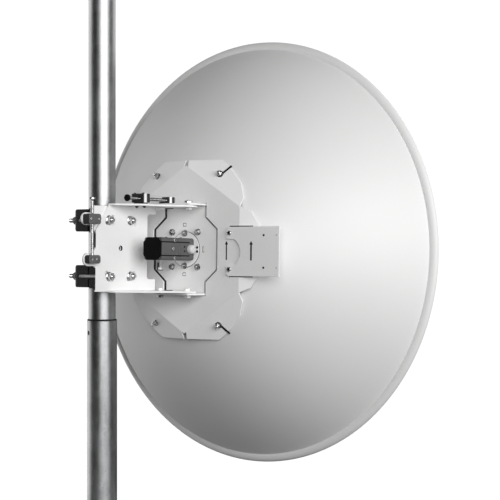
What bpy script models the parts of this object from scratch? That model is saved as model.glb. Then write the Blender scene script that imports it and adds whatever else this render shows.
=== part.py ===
"""Parabolic dish antenna on a mast, with its two-axis precision mount. Metres, +Z up.

The mast stands on the origin. Pieces are drawn from the elevation axis: x runs from the
mast to the arm, y along the dish's line of sight, z up.
"""
import math

import bmesh
import bpy
from mathutils import Matrix, Vector

# Driving dimensions
AXIS_HEIGHT = 0.600          # elevation axis above the mast's foot
ARM_DROOP = math.radians(1.05)
SEAT_GAP = 0.0003            # left between faces that touch

TUBE_RADIUS = 0.0254
TUBE_WALL = 0.003
TUBE_TOP = 0.540
TUBE_IN_SOCKET = -0.255
SOCKET_TOP = -0.135
SOCKET_WALL = 0.0024
SOCKET_FLOOR = 0.004
MAST_SIDES = 40

JAW_HEIGHT = 0.052           # middle of each clamp, above and below the axis
JAW_HALF_HEIGHT = 0.0225
JAW_HALF_WIDTH = 0.037
JAW_BACK = 0.038
JAW_SPLIT = 0.0015
JAW_SOLID = 0.026            # the bolts lie open in a groove inside this
GROOVE_HALF_HEIGHT = 0.0046
CLAMP_BOLT_Y = 0.0305
CLAMP_BOLT_RADIUS = 0.004
CLAMP_HOLE_RADIUS = 0.0046

POLE_PLATE_X = (0.039, 0.0427)
POLE_PLATE_TOP = 0.078
POLE_PLATE_FRONT = 0.058
UPPER_EAR = (-0.0885, 0.0536, 0.0115)

WEB_X = (0.043, 0.047)
ARM_HALF_HEIGHT = 0.082
FLANGE_THICKNESS = 0.0035
ARM_BACK = -0.067
ARM_FRONT = 0.099
LOWER_EAR = (-0.088, -0.022, 0.012)
PIVOT_PIN_RADIUS = 0.004
ELEVATION_SLOT_HALF_ANGLE = math.radians(8.7)

SCREW_X = 0.053
SCREW_Y = -0.0837
SCREW_FOOT_Z = -0.0216
SCREW_RADIUS = 0.003
SCREW_TOP = 0.091
UPPER_BLOCK_Y = (-0.098, -0.066)
UPPER_BLOCK_Z = (0.0436, 0.0625)
LOWER_BLOCK_Y = (-0.0975, -0.067)
LOWER_BLOCK_HALF_HEIGHT = 0.0078
BLOCK_FRONT_X = 0.059

AZIMUTH_PIVOT = (0.1303, 0.095)
LOCK_BOLT_X = 0.064
LOCK_BOLT_RADIUS = 0.003
AZIMUTH_SWING = math.radians(9)
AZIMUTH_ROD_X = 0.0827
AZIMUTH_ROD_Z = 0.092
AZIMUTH_ROD_Y = (-0.020, 0.097)
KNOB_RADIUS = 0.0062
KNOB_LENGTH = 0.004
SCREW_BLOCK = ((0.064, 0.009, 0.085), (0.095, 0.026, 0.1015))
SWIVEL_BLOCK = ((0.071, 0.087, 0.0866), (0.092, 0.101, 0.0985))
SWIVEL_PIN_RADIUS = 0.0025

HUB_X = 0.1025
HUB_BACK = 0.119
HUB_THICKNESS = 0.003
HUB_CORNER_Z = 0.1596
HUB_SIDE = (0.1298, 0.0798)
CORNER_FLAP_SLOPE = 0.475
SIDE_FLAP_SLOPE = 0.32
FLAP_BOLT = (0.0772, 0.1414)
WINDOW_WIDE = 0.0785
WINDOW_NARROW = 0.0515
WINDOW_TOP = 0.0872

YOKE_FLOOR = (0.1275, 0.131)
YOKE_FLANGE = (0.0823, 0.0863)
FEED_FLANGE_RADIUS = 0.036
FEED_FLANGE_THICKNESS = 0.003
FEED_TUBE_RADIUS = 0.019
FEED_TUBE_WALL = 0.002

SEAT_RADIUS = 0.1535
SEAT_BACK = YOKE_FLOOR[1] + SEAT_GAP
SHELL = 0.0025
FOCAL_LENGTH = 0.1707
BOWL_RADIUS = 0.406
RIM_RADIUS = 0.4215
LIP_LENGTH = 0.0075
DISH_SIDES = 80
DISH_STEPS = 7
SUB_REFLECTOR_RADIUS = 0.035

RADIO_PLATE_THICKNESS = 0.003
RADIO_PLATE_X = (0.102, 0.223)
RADIO_PLATE_Z = (-0.0495, 0.0395)

OMT_HALF = 0.021
OMT_BACK = 0.031
OMT_CAP_BACK = 0.0232
OMT_SIDE_CAP_Y = 0.111

COLOURS = {
    "galvanised": ((0.52, 0.53, 0.54), 0.38, 1.0),
    "white_paint": ((0.80, 0.80, 0.79), 0.45, 0.0),
    "clamp_black": ((0.02, 0.02, 0.02), 0.55, 0.0),
    "block_grey": ((0.13, 0.13, 0.13), 0.5, 0.4),
    "zinc": ((0.66, 0.66, 0.65), 0.3, 1.0),
    "cast_grey": ((0.24, 0.24, 0.24), 0.5, 0.5),
    "black_plastic": ((0.015, 0.015, 0.015), 0.5, 0.0),
    "white_plastic": ((0.75, 0.75, 0.73), 0.4, 0.0),
}


def clear_scene():
    for item in list(bpy.data.objects):
        bpy.data.objects.remove(item)


def frame_empty(name, matrix):
    """An empty that carries pieces drawn in its own frame."""
    empty = bpy.data.objects.new(name, None)
    bpy.context.scene.collection.objects.link(empty)
    empty.matrix_world = matrix
    return empty


def paint(slot):
    """The plain material of one colour slot."""
    material = bpy.data.materials.get(slot)
    if material:
        return material
    colour, roughness, metallic = COLOURS[slot]
    material = bpy.data.materials.new(slot)
    material.use_nodes = True
    shader = material.node_tree.nodes["Principled BSDF"]
    shader.inputs["Base Color"].default_value = (*colour, 1)
    shader.inputs["Roughness"].default_value = roughness
    shader.inputs["Metallic"].default_value = metallic
    return material


def add_piece(name, mesh, slot, frame):
    """One named sub-part in its frame, with its material."""
    mesh.name = name
    mesh.materials.clear()
    mesh.materials.append(paint(slot))
    mesh.shade_smooth()
    mesh.set_sharp_from_angle(angle=math.radians(30))
    piece = bpy.data.objects.new(name, mesh)
    bpy.context.scene.collection.objects.link(piece)
    piece.parent = frame
    return piece


def as_mesh(bm):
    bmesh.ops.recalc_face_normals(bm, faces=bm.faces)
    mesh = bpy.data.meshes.new("shape")
    bm.to_mesh(mesh)
    bm.free()
    return mesh


def place(u, v, w, axis):
    """A point with w along the axis and u, v along the other two, in x, y, z order."""
    if axis == "X":
        return Vector((w, u, v))
    if axis == "Y":
        return Vector((u, w, v))
    return Vector((u, v, w))


def prism(outline, low, high, axis):
    """A plate of the given outline between two heights along an axis."""
    bm = bmesh.new()
    face = bm.faces.new([bm.verts.new(place(u, v, low, axis)) for u, v in outline])
    grown = bmesh.ops.extrude_face_region(bm, geom=[face])["geom"]
    top = [item for item in grown if isinstance(item, bmesh.types.BMVert)]
    bmesh.ops.translate(bm, verts=top, vec=place(0, 0, high - low, axis))
    return as_mesh(bm)


def box(low, high):
    outline = [(low[0], low[1]), (high[0], low[1]), (high[0], high[1]), (low[0], high[1])]
    return prism(outline, low[2], high[2], "Z")


def ring_points(radius, centre, height, axis, sides, six_sided):
    """Points round an axis; a six-sided ring has the radius as half its width across flats."""
    points = []
    for step in range(sides):
        angle = math.tau * step / sides
        reach = radius
        if six_sided:
            off_flat = (angle + math.pi / 6) % (math.pi / 3) - math.pi / 6
            reach = radius / math.cos(off_flat)
        u = centre[0] + reach * math.cos(angle)
        v = centre[1] + reach * math.sin(angle)
        points.append(place(u, v, height, axis))
    return points


def bridge(bm, first, second):
    count = len(first)
    for step in range(count):
        after = (step + 1) % count
        bm.faces.new((first[step], first[after], second[after], second[step]))


def stack(rings, centre, axis, sides=12):
    """A closed solid through rings of (height, radius) or (height, radius, "six")."""
    bm = bmesh.new()
    loops = []
    for height, radius, *form in rings:
        points = ring_points(radius, centre, height, axis, sides, bool(form))
        loops.append([bm.verts.new(point) for point in points])
    for first, second in zip(loops, loops[1:]):
        bridge(bm, first, second)
    bm.faces.new(loops[0])
    bm.faces.new(loops[-1])
    return as_mesh(bm)


def hollow_turning(profile, centre, axis, sides):
    """A ring turned from a closed profile of (height, radius) points."""
    bm = bmesh.new()
    loops = []
    for height, radius in profile:
        points = ring_points(radius, centre, height, axis, sides, False)
        loops.append([bm.verts.new(point) for point in points])
    for first, second in zip(loops, loops[1:] + loops[:1]):
        bridge(bm, first, second)
    return as_mesh(bm)


def rounded(corners, steps=4):
    """An outline from corners of (u, v) or (u, v, radius), with arcs at the radii."""
    outline = []
    count = len(corners)
    for index, (u, v, *radius) in enumerate(corners):
        corner = Vector((u, v))
        if not radius:
            outline.append((u, v))
            continue
        before = (Vector(corners[index - 1][:2]) - corner).normalized()
        after = (Vector(corners[(index + 1) % count][:2]) - corner).normalized()
        half_angle = before.angle(after) / 2
        centre = corner + (before + after).normalized() * radius[0] / math.sin(half_angle)
        reach = radius[0] / math.tan(half_angle)
        start = corner + before * reach - centre
        turn = start.angle_signed(corner + after * reach - centre)
        for step in range(steps + 1):
            spoke = Matrix.Rotation(-turn * step / steps, 2) @ start
            outline.append(tuple(centre + spoke))
    return outline


def arc_slot(centre, radius, middle, half_angle, half_width):
    """The outline of a slot that is bent round a centre."""
    outline = []
    steps = 5
    for reach, way in ((radius + half_width, 1), (radius - half_width, -1)):
        for step in range(steps + 1):
            angle = middle + way * half_angle * (2 * step / steps - 1)
            outline.append((centre[0] + reach * math.cos(angle), centre[1] + reach * math.sin(angle)))
        end = middle + way * half_angle
        for step in range(1, 4):
            turn = end + math.pi * step / 4 + (0 if way > 0 else math.pi)
            tip = (centre[0] + radius * math.cos(end), centre[1] + radius * math.sin(end))
            outline.append((tip[0] + half_width * math.cos(turn), tip[1] + half_width * math.sin(turn)))
    return outline


def boolean(mesh, tool, operation):
    """Join a closed mesh with another, or cut it by it."""
    body = bpy.data.objects.new("body", mesh)
    other = bpy.data.objects.new("tool", tool)
    for item in (body, other):
        bpy.context.scene.collection.objects.link(item)
    step = body.modifiers.new("step", "BOOLEAN")
    step.operation = operation
    step.solver = "EXACT"
    step.object = other
    view = bpy.context.evaluated_depsgraph_get()
    result = bpy.data.meshes.new_from_object(body.evaluated_get(view))
    for item in (body, other):
        bpy.data.objects.remove(item)
    return result


def cut(mesh, *tools):
    for tool in tools:
        mesh = boolean(mesh, tool, "DIFFERENCE")
    return mesh


def join(mesh, *tools):
    for tool in tools:
        mesh = boolean(mesh, tool, "UNION")
    return mesh


def hole(radius, centre, low, high, axis, sides=12):
    return stack([(low, radius), (high, radius)], centre, axis, sides)


def mirrored(mesh):
    """A copy of a mesh on the other side of the level plane through the axis."""
    copy = mesh.copy()
    copy.transform(Matrix.Scale(-1, 4, (0, 0, 1)))
    copy.flip_normals()
    return copy


def make_mast(frame):
    inner = TUBE_RADIUS - TUBE_WALL
    upper = [(TUBE_IN_SOCKET, TUBE_RADIUS), (TUBE_TOP, TUBE_RADIUS),
             (TUBE_TOP, inner), (TUBE_IN_SOCKET, inner)]
    add_piece("mast_upper_tube", hollow_turning(upper, (0, 0), "Z", MAST_SIDES), "galvanised", frame)
    bore = TUBE_RADIUS + SEAT_GAP
    outside = bore + SOCKET_WALL
    floor = -AXIS_HEIGHT + SOCKET_FLOOR
    lower = [(-AXIS_HEIGHT, outside), (SOCKET_TOP, outside), (SOCKET_TOP, bore), (floor, bore)]
    add_piece("mast_lower_tube", stack(lower, (0, 0), "Z", MAST_SIDES), "galvanised", frame)


def make_jaw(outer_side, height):
    """One clamp jaw: a block round the tube, with open grooves for the two bolts."""
    side = -1 if outer_side else 1
    back = JAW_BACK if outer_side else POLE_PLATE_X[0] - SEAT_GAP
    ends = sorted((side * JAW_SPLIT, side * back))
    low = (ends[0], -JAW_HALF_WIDTH, height - JAW_HALF_HEIGHT)
    high = (ends[1], JAW_HALF_WIDTH, height + JAW_HALF_HEIGHT)
    jaw = box(low, high)
    beyond = 2 * JAW_HALF_HEIGHT
    tube_space = hole(TUBE_RADIUS + SEAT_GAP, (0, 0), height - beyond, height + beyond, "Z", MAST_SIDES)
    jaw = cut(jaw, tube_space)
    for bolt_side in (-1, 1):
        groove_x = sorted((0, side * JAW_SOLID))
        groove_y = sorted((bolt_side * 0.018, bolt_side * 0.045))
        groove = box((groove_x[0], groove_y[0], height - GROOVE_HALF_HEIGHT),
                     (groove_x[1], groove_y[1], height + GROOVE_HALF_HEIGHT))
        bore = hole(CLAMP_HOLE_RADIUS, (bolt_side * CLAMP_BOLT_Y, height), -0.05, 0.05, "X")
        jaw = cut(jaw, groove, bore)
    return jaw


def make_clamps(frame):
    for level, height in (("upper", JAW_HEIGHT), ("lower", -JAW_HEIGHT)):
        add_piece("outer_jaw_" + level, make_jaw(True, height), "clamp_black", frame)
        add_piece("inner_jaw_" + level, make_jaw(False, height), "clamp_black", frame)
        for end, y in (("back", -CLAMP_BOLT_Y), ("front", CLAMP_BOLT_Y)):
            add_piece("clamp_bolt_%s_%s" % (level, end), make_clamp_bolt(y, height), "zinc", frame)


def make_clamp_bolt(y, height):
    """A long bolt, with its nut at the back jaw and a flange nut on the arm's web."""
    shank = CLAMP_BOLT_RADIUS
    nut = 0.0065
    nut_back = -JAW_BACK - SEAT_GAP
    web = WEB_X[1] + SEAT_GAP
    rings = [(-0.0575, shank - 0.001), (-0.0565, shank), (nut_back - 0.0065, shank),
             (nut_back - 0.0065, nut, "six"), (nut_back, nut, "six"), (nut_back, shank),
             (web, shank), (web, 0.00875), (web + 0.0015, 0.00875), (web + 0.0025, nut, "six"),
             (web + 0.008, nut, "six"), (web + 0.008, shank), (web + 0.0108, shank),
             (web + 0.0118, shank - 0.001)]
    return stack(rings, (y, height), "X")


def make_pole_plate(frame):
    ear_y, ear_z, ear_radius = UPPER_EAR
    top = ear_z + ear_radius
    low = ear_z - ear_radius
    end = ear_y - ear_radius
    corners = [(ARM_BACK, POLE_PLATE_TOP), (ARM_BACK, top, 0.004), (end, top, ear_radius * 0.98),
               (end, low, ear_radius * 0.98), (ARM_BACK, low, 0.003), (ARM_BACK, 0.033), (-0.055, 0.020),
               (-0.055, -POLE_PLATE_TOP, 0.006), (POLE_PLATE_FRONT, -POLE_PLATE_TOP, 0.006),
               (POLE_PLATE_FRONT, POLE_PLATE_TOP, 0.006)]
    plate = prism(rounded(corners), *POLE_PLATE_X, "X")
    plate = cut(plate, hole(CLAMP_HOLE_RADIUS, (0, 0), 0.03, 0.05, "X"))
    for y in (-CLAMP_BOLT_Y, CLAMP_BOLT_Y):
        for z in (-JAW_HEIGHT, JAW_HEIGHT):
            plate = cut(plate, hole(CLAMP_HOLE_RADIUS, (y, z), 0.03, 0.05, "X"))
    add_piece("pole_plate", plate, "white_paint", frame)


def make_pivot_pin(frame):
    head = POLE_PLATE_X[0] - SEAT_GAP
    rings = [(head - 0.003, 0.008), (head, 0.008), (head, PIVOT_PIN_RADIUS),
             (WEB_X[1] - 0.001, PIVOT_PIN_RADIUS)]
    add_piece("elevation_pivot_pin", stack(rings, (0, 0), "X"), "zinc", frame)


def block_outline(y_range, z_range, radius):
    (y0, y1), (z0, z1) = y_range, z_range
    return rounded([(y0, z0, radius), (y1, z0, radius), (y1, z1, radius), (y0, z1, radius)])


def make_upper_block(frame, screw_y):
    block = prism(block_outline(UPPER_BLOCK_Y, UPPER_BLOCK_Z, 0.0045), WEB_X[0], BLOCK_FRONT_X, "X")
    block = cut(block, hole(SCREW_RADIUS + 0.0014, (SCREW_X, screw_y), 0.03, 0.08, "Z"))
    add_piece("elevation_upper_block", block, "block_grey", frame)


def make_elevation_screw(frame):
    """The screw and its lower block, drawn from the middle of that block."""
    half = LOWER_BLOCK_HALF_HEIGHT
    y_range = [y - SCREW_Y for y in LOWER_BLOCK_Y]
    near = WEB_X[1] + SEAT_GAP - SCREW_X
    block = prism(block_outline(y_range, (-half, half), 0.005), near, BLOCK_FRONT_X - SCREW_X, "X")
    block = cut(block, hole(SCREW_RADIUS + SEAT_GAP, (0, 0), -0.005, 0.02, "Z"))
    add_piece("elevation_lower_block", block, "block_grey", frame)
    top = SCREW_TOP - SCREW_FOOT_Z
    rings = [(-0.0045, SCREW_RADIUS), (top - 0.004, SCREW_RADIUS), (top - 0.004, 0.0062),
             (top - 0.001, 0.0062), (top, 0.005)]
    add_piece("elevation_screw_rod", stack(rings, (0, 0), "Z"), "zinc", frame)


def web_outline():
    ear_y, ear_z, ear_radius = LOWER_EAR
    end = ear_y - ear_radius
    return rounded([
        (ARM_FRONT, 0.0805), (ARM_FRONT, 0.059, 0.003), (0.077, 0.059, 0.008), (0.077, -0.053, 0.008),
        (ARM_FRONT, -0.053, 0.004), (ARM_FRONT, -0.0805), (ARM_BACK, -0.0805),
        (ARM_BACK, ear_z - ear_radius, 0.007), (end, ear_z - ear_radius, ear_radius * 0.98),
        (end, ear_z + ear_radius, ear_radius * 0.98), (-0.078, ear_z + ear_radius, 0.006),
        (ARM_BACK, -0.001, 0.005), (ARM_BACK, 0.032, 0.004), (-0.0315, 0.0805)])


def arm_flange(low, high):
    """One level flange of the arm, from the web to the tongue round the azimuth pivot."""
    corners = [(WEB_X[0], -0.0315), (0.058, -0.0315, 0.01), (0.101, 0.004, 0.008), (0.107, 0.045, 0.02),
               (0.141, 0.079, 0.006), (0.1463, 0.089, 0.006), (0.1463, 0.101, 0.006), (0.139, 0.112, 0.006),
               (0.060, 0.112, 0.003), (0.054, ARM_FRONT), (WEB_X[0], ARM_FRONT)]
    flange = prism(rounded(corners), low, high, "Z")
    centre = AZIMUTH_PIVOT
    slot = arc_slot(centre, centre[0] - LOCK_BOLT_X, math.pi, AZIMUTH_SWING + 0.004, LOCK_BOLT_RADIUS + 0.0006)
    beyond = 0.002
    return cut(flange, prism(slot, low - beyond, high + beyond, "Z"),
               hole(0.0044, centre, low - beyond, high + beyond, "Z"))


def make_arm(frame):
    inside = ARM_HALF_HEIGHT - FLANGE_THICKNESS
    arm = prism(web_outline(), *WEB_X, "X")
    arm = join(arm, arm_flange(inside, ARM_HALF_HEIGHT), arm_flange(-ARM_HALF_HEIGHT, -inside))
    radius = math.hypot(CLAMP_BOLT_Y, JAW_HEIGHT)
    first = math.atan2(JAW_HEIGHT, CLAMP_BOLT_Y)
    for middle in (first, math.pi - first, math.pi + first, -first):
        slot = arc_slot((0, 0), radius, middle, ELEVATION_SLOT_HALF_ANGLE, CLAMP_HOLE_RADIUS)
        arm = cut(arm, prism(slot, 0.04, 0.05, "X"))
    arm = cut(arm, hole(PIVOT_PIN_RADIUS + 0.0004, (0, 0), 0.04, 0.05, "X"))
    add_piece("arm_channel", arm, "white_paint", frame)


def make_azimuth_pivots(frame):
    """The two bolts that the head swings on; the lower one is the upper one turned over."""
    flange_inside = ARM_HALF_HEIGHT - FLANGE_THICKNESS - SEAT_GAP
    yoke_outside = YOKE_FLANGE[1] + SEAT_GAP
    rings = [(flange_inside - 0.0045, 0.006, "six"), (flange_inside, 0.006, "six"), (flange_inside, 0.004),
             (yoke_outside, 0.004), (yoke_outside, 0.0065, "six"), (yoke_outside + 0.004, 0.0065, "six"),
             (yoke_outside + 0.0055, 0.0035)]
    bolt = stack(rings, AZIMUTH_PIVOT, "Z")
    add_piece("azimuth_pivot_bolt_bottom", mirrored(bolt), "zinc", frame)
    add_piece("azimuth_pivot_bolt_top", bolt, "zinc", frame)


def make_screw_block(frame):
    low, high = SCREW_BLOCK
    foot_z = ARM_HALF_HEIGHT + SEAT_GAP
    foot = box((low[0] + 0.004, low[1] + 0.002, foot_z), (high[0] - 0.004, high[1] - 0.002, low[2] + 0.002))
    bore = hole(0.004, (AZIMUTH_ROD_X, AZIMUTH_ROD_Z), low[1] - 0.01, high[1] + 0.01, "Y")
    block = cut(join(box(low, high), foot), bore)
    add_piece("azimuth_screw_block", block, "block_grey", frame)


def make_azimuth_screw(frame):
    """The fine azimuth screw with its knob, and the block that its pin hangs on the yoke."""
    radius = 0.003
    start, end = AZIMUTH_ROD_Y
    rings = [(start - KNOB_LENGTH, KNOB_RADIUS - 0.001), (start - KNOB_LENGTH + 0.001, KNOB_RADIUS),
             (start, KNOB_RADIUS), (start, radius), (end, radius)]
    rod = stack(rings, (AZIMUTH_ROD_X, AZIMUTH_ROD_Z), "Y")
    add_piece("azimuth_screw_rod", rod, "zinc", frame)
    low, high = SWIVEL_BLOCK
    pin = hole(SWIVEL_PIN_RADIUS, (AZIMUTH_ROD_X, AZIMUTH_PIVOT[1]), ARM_HALF_HEIGHT + 0.0008,
               low[2] + 0.002, "Z")
    block = join(box(low, high), pin)
    socket = hole(radius + SEAT_GAP, (AZIMUTH_ROD_X, AZIMUTH_ROD_Z), low[1] - 0.01, end + SEAT_GAP, "Y")
    add_piece("azimuth_swivel_block", cut(block, socket), "block_grey", frame)


def yoke_flange(low, high, with_pin_hole):
    corners = [(0.053, 0.130), (0.053, 0.107), (0.056, 0.083, 0.003), (0.142, 0.081, 0.008),
               (0.152, 0.093, 0.006), (0.152, 0.130)]
    flange = prism(rounded(corners), low, high, "Z")
    beyond = 0.002
    holes = [(0.0044, AZIMUTH_PIVOT), (LOCK_BOLT_RADIUS + 0.0005, (LOCK_BOLT_X, AZIMUTH_PIVOT[1]))]
    if with_pin_hole:
        holes.append((SWIVEL_PIN_RADIUS + 0.0012, (AZIMUTH_ROD_X, AZIMUTH_PIVOT[1])))
    for radius, centre in holes:
        flange = cut(flange, hole(radius, centre, low - beyond, high + beyond, "Z"))
    return flange


def make_yoke(frame):
    wide, shoulder, neck, knee = 0.086, 0.045, 0.060, 0.071
    top = YOKE_FLANGE[1]
    quarter = [(wide, shoulder), (neck, knee), (neck, top)]
    right = [(x, -z) for x, z in reversed(quarter)] + quarter
    left = [(-x, z) for x, z in reversed(right)]
    outline = [(HUB_X + x, z) for x, z in right + left]
    yoke = prism(outline, *YOKE_FLOOR, "Y")
    yoke = join(yoke, yoke_flange(*YOKE_FLANGE, True), yoke_flange(-top, -YOKE_FLANGE[0], False))
    yoke = cut(yoke, hole(FEED_TUBE_RADIUS + SEAT_GAP, (HUB_X, 0), 0.12, 0.14, "Y", 24))
    add_piece("yoke", yoke, "white_paint", frame)


def make_lock_bolts(frame):
    flange_inside = ARM_HALF_HEIGHT - FLANGE_THICKNESS - SEAT_GAP
    yoke_outside = YOKE_FLANGE[1] + SEAT_GAP
    rings = [(flange_inside - 0.0045, 0.0048, "six"), (flange_inside, 0.0048, "six"),
             (flange_inside, LOCK_BOLT_RADIUS), (yoke_outside, LOCK_BOLT_RADIUS),
             (yoke_outside, 0.0042, "six"), (yoke_outside + 0.0035, 0.0042, "six")]
    bolt = stack(rings, (LOCK_BOLT_X, AZIMUTH_PIVOT[1]), "Z")
    add_piece("azimuth_lock_bolt_bottom", mirrored(bolt), "zinc", frame)
    add_piece("azimuth_lock_bolt_top", bolt, "zinc", frame)


def hub_sheet():
    """The flat hexagon and its six flaps, which share the fold lines' points."""
    side_x, side_z = HUB_SIDE
    along = Vector((side_x, side_z - HUB_CORNER_Z)).normalized()
    outward = Vector((-along.y, along.x))
    notch = Vector((0, HUB_CORNER_Z)) + along * 0.006
    flap_edge = [(0.0035, 0.1697), (0.0687, 0.1697), (0.091, 0.1545), (0.1212, 0.1232), (0.1333, 0.096)]
    side_edge = [(0.1515, 0.0707), (0.1665, 0.0455)]

    bm = bmesh.new()
    points = {}

    def vertex(x, z, forward=0.0):
        key = (round(x, 6), round(z, 6))
        if key not in points:
            points[key] = bm.verts.new((HUB_X + x, HUB_BACK + forward, z))
        return points[key]

    hexagon = []
    for sx, sz in ((1, 1), (1, -1), (-1, -1), (-1, 1)):
        run = [(0, sz * HUB_CORNER_Z), (sx * notch.x, sz * notch.y), (sx * side_x, sz * side_z)]
        hexagon.extend(run if sx == sz else reversed(run))
    outline = []
    for x, z in hexagon:
        if vertex(x, z) not in outline:
            outline.append(vertex(x, z))
    bm.faces.new(outline)

    for sx in (1, -1):
        for sz in (1, -1):
            flap = [vertex(sx * notch.x, sz * notch.y)]
            for x, z in flap_edge:
                beyond = (Vector((x, z)) - notch).dot(outward)
                flap.append(vertex(sx * x, sz * z, beyond * CORNER_FLAP_SLOPE))
            flap.append(vertex(sx * side_x, sz * side_z))
            bm.faces.new(flap)
        flap = [vertex(sx * side_x, side_z)]
        for x, z in side_edge + [(x, -z) for x, z in reversed(side_edge)]:
            flap.append(vertex(sx * x, z, (x - side_x) * SIDE_FLAP_SLOPE))
        flap.append(vertex(sx * side_x, -side_z))
        bm.faces.new(flap)
    return bm


def make_hub_plate(frame):
    bm = hub_sheet()
    bmesh.ops.recalc_face_normals(bm, faces=bm.faces)
    grown = bmesh.ops.extrude_face_region(bm, geom=list(bm.faces), use_keep_orig=True)["geom"]
    front = [item for item in grown if isinstance(item, bmesh.types.BMVert)]
    bmesh.ops.translate(bm, verts=front, vec=(0, HUB_THICKNESS, 0))
    plate = as_mesh(bm)
    low, high = HUB_BACK - 0.01, HUB_BACK + 0.02
    narrow, wide, top = WINDOW_NARROW, WINDOW_WIDE, WINDOW_TOP
    quarter = [(wide, 0.0385), (narrow, 0.0615), (narrow, top)]
    right = [(x, -z) for x, z in reversed(quarter)] + quarter
    window = [(HUB_X + x, z) for x, z in right + [(-x, z) for x, z in reversed(right)]]
    plate = cut(plate, prism(window, low, high, "Y"))
    bolt_x, bolt_z = FLAP_BOLT
    half, run = 0.0022 * math.sqrt(0.5), 0.032
    for side in (1, -1):
        slot = [(bolt_x + half, bolt_z - half), (bolt_x + run + half, bolt_z + run - half),
                (bolt_x + run - half, bolt_z + run + half), (bolt_x - half, bolt_z + half)]
        slot = [(HUB_X + x, side * z) for x, z in slot]
        plate = cut(plate, prism(slot, low, high + 0.01, "Y"))
    add_piece("hub_plate", plate, "white_paint", frame)


def bowl(radius):
    """How far forward of the flat seat the bowl's back has come at a radius."""
    return (radius ** 2 - SEAT_RADIUS ** 2) / (4 * FOCAL_LENGTH)


def make_reflector(frame):
    """A pressed shell: flat seat, paraboloid, flat rim and a lip rolled forward."""
    radii = [SEAT_RADIUS + (BOWL_RADIUS - SEAT_RADIUS) * step / DISH_STEPS for step in range(DISH_STEPS + 1)]
    edge = SEAT_BACK + bowl(BOWL_RADIUS)
    lean = SHELL * 1.2
    back = [(SEAT_BACK, 0.030)] + [(SEAT_BACK + bowl(r), r) for r in radii]
    back += [(edge + 0.0006, RIM_RADIUS - 0.002), (edge + 0.0026, RIM_RADIUS), (edge + LIP_LENGTH, RIM_RADIUS)]
    front = [(SEAT_BACK + SHELL, 0.030)]
    front += [(SEAT_BACK + bowl(r) + lean, r) for r in radii[:-1]]
    front += [(edge + lean, BOWL_RADIUS - 0.001), (edge + lean + 0.0003, RIM_RADIUS - SHELL),
              (edge + LIP_LENGTH, RIM_RADIUS - SHELL)]
    dish = hollow_turning(back + front[::-1], (HUB_X, 0), "Y", DISH_SIDES)
    add_piece("reflector", dish, "white_paint", frame)


def make_radio_plate(frame):
    """The side plate for a radio, with two ears, a round bite between them and bent edges."""
    front = HUB_BACK - SEAT_GAP
    back = front - RADIO_PLATE_THICKNESS
    left, right = RADIO_PLATE_X
    low, high = RADIO_PLATE_Z
    middle = (low + high) / 2
    bite_centre, bite_radius = 0.108, 0.0268
    steps = 8
    bite = []
    for step in range(steps + 1):
        angle = math.radians(62) * (1 - 2 * step / steps)
        bite.append((bite_centre + bite_radius * math.cos(angle), middle + bite_radius * math.sin(angle)))
    corners = [(right, low), (right, high), (left, high, 0.0075), (left, high - 0.020, 0.004)]
    corners += bite + [(left, low + 0.020, 0.004), (left, low, 0.0075)]
    plate = prism([(HUB_X + x, z) for x, z in rounded(corners)], back, front, "Y")
    edge_start = HUB_X + 0.171
    for z0, z1 in ((high - 0.0025, high), (low, low + 0.0025)):
        plate = join(plate, box((edge_start, back, z0), (HUB_X + right, front + 0.011, z1)))
    add_piece("radio_plate", plate, "white_paint", frame)


def make_feed(frame):
    """Feed flange behind the dish; tube, cone and small reflector in front of it."""
    centre = (HUB_X, 0)
    flange_front = YOKE_FLOOR[0] - SEAT_GAP
    flange_back = flange_front - FEED_FLANGE_THICKNESS
    flange = stack([(flange_back, FEED_FLANGE_RADIUS), (flange_front, FEED_FLANGE_RADIUS)], centre, "Y", 32)
    add_piece("feed_flange", flange, "cast_grey", frame)
    outer, inner = FEED_TUBE_RADIUS, FEED_TUBE_RADIUS - FEED_TUBE_WALL
    start, end = YOKE_FLOOR[0], 0.262
    tube = hollow_turning([(start, outer), (end, outer), (end, inner), (start, inner)], centre, "Y", 24)
    add_piece("feed_tube", tube, "cast_grey", frame)
    cone_end = end + SEAT_GAP + 0.014
    cone = stack([(end + SEAT_GAP, outer), (cone_end - 0.002, 0.033), (cone_end, 0.033)], centre, "Y", 32)
    add_piece("feed_cone", cone, "white_plastic", frame)
    disc = [(cone_end + SEAT_GAP, SUB_REFLECTOR_RADIUS), (cone_end + 0.004, SUB_REFLECTOR_RADIUS),
            (cone_end + 0.007, 0.02)]
    add_piece("feed_sub_reflector", stack(disc, centre, "Y", 32), "cast_grey", frame)


def notched_square(half_x, half_z, notch_x, notch_z):
    """A square with its corners cut in, drawn round the dish's axis."""
    quarter = [(half_x, half_z - notch_z), (half_x - notch_x, half_z - notch_z), (half_x - notch_x, half_z)]
    right = [(x, -z) for x, z in reversed(quarter)] + quarter
    return [(HUB_X + x, z) for x, z in right + [(-x, z) for x, z in reversed(right)]]


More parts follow.
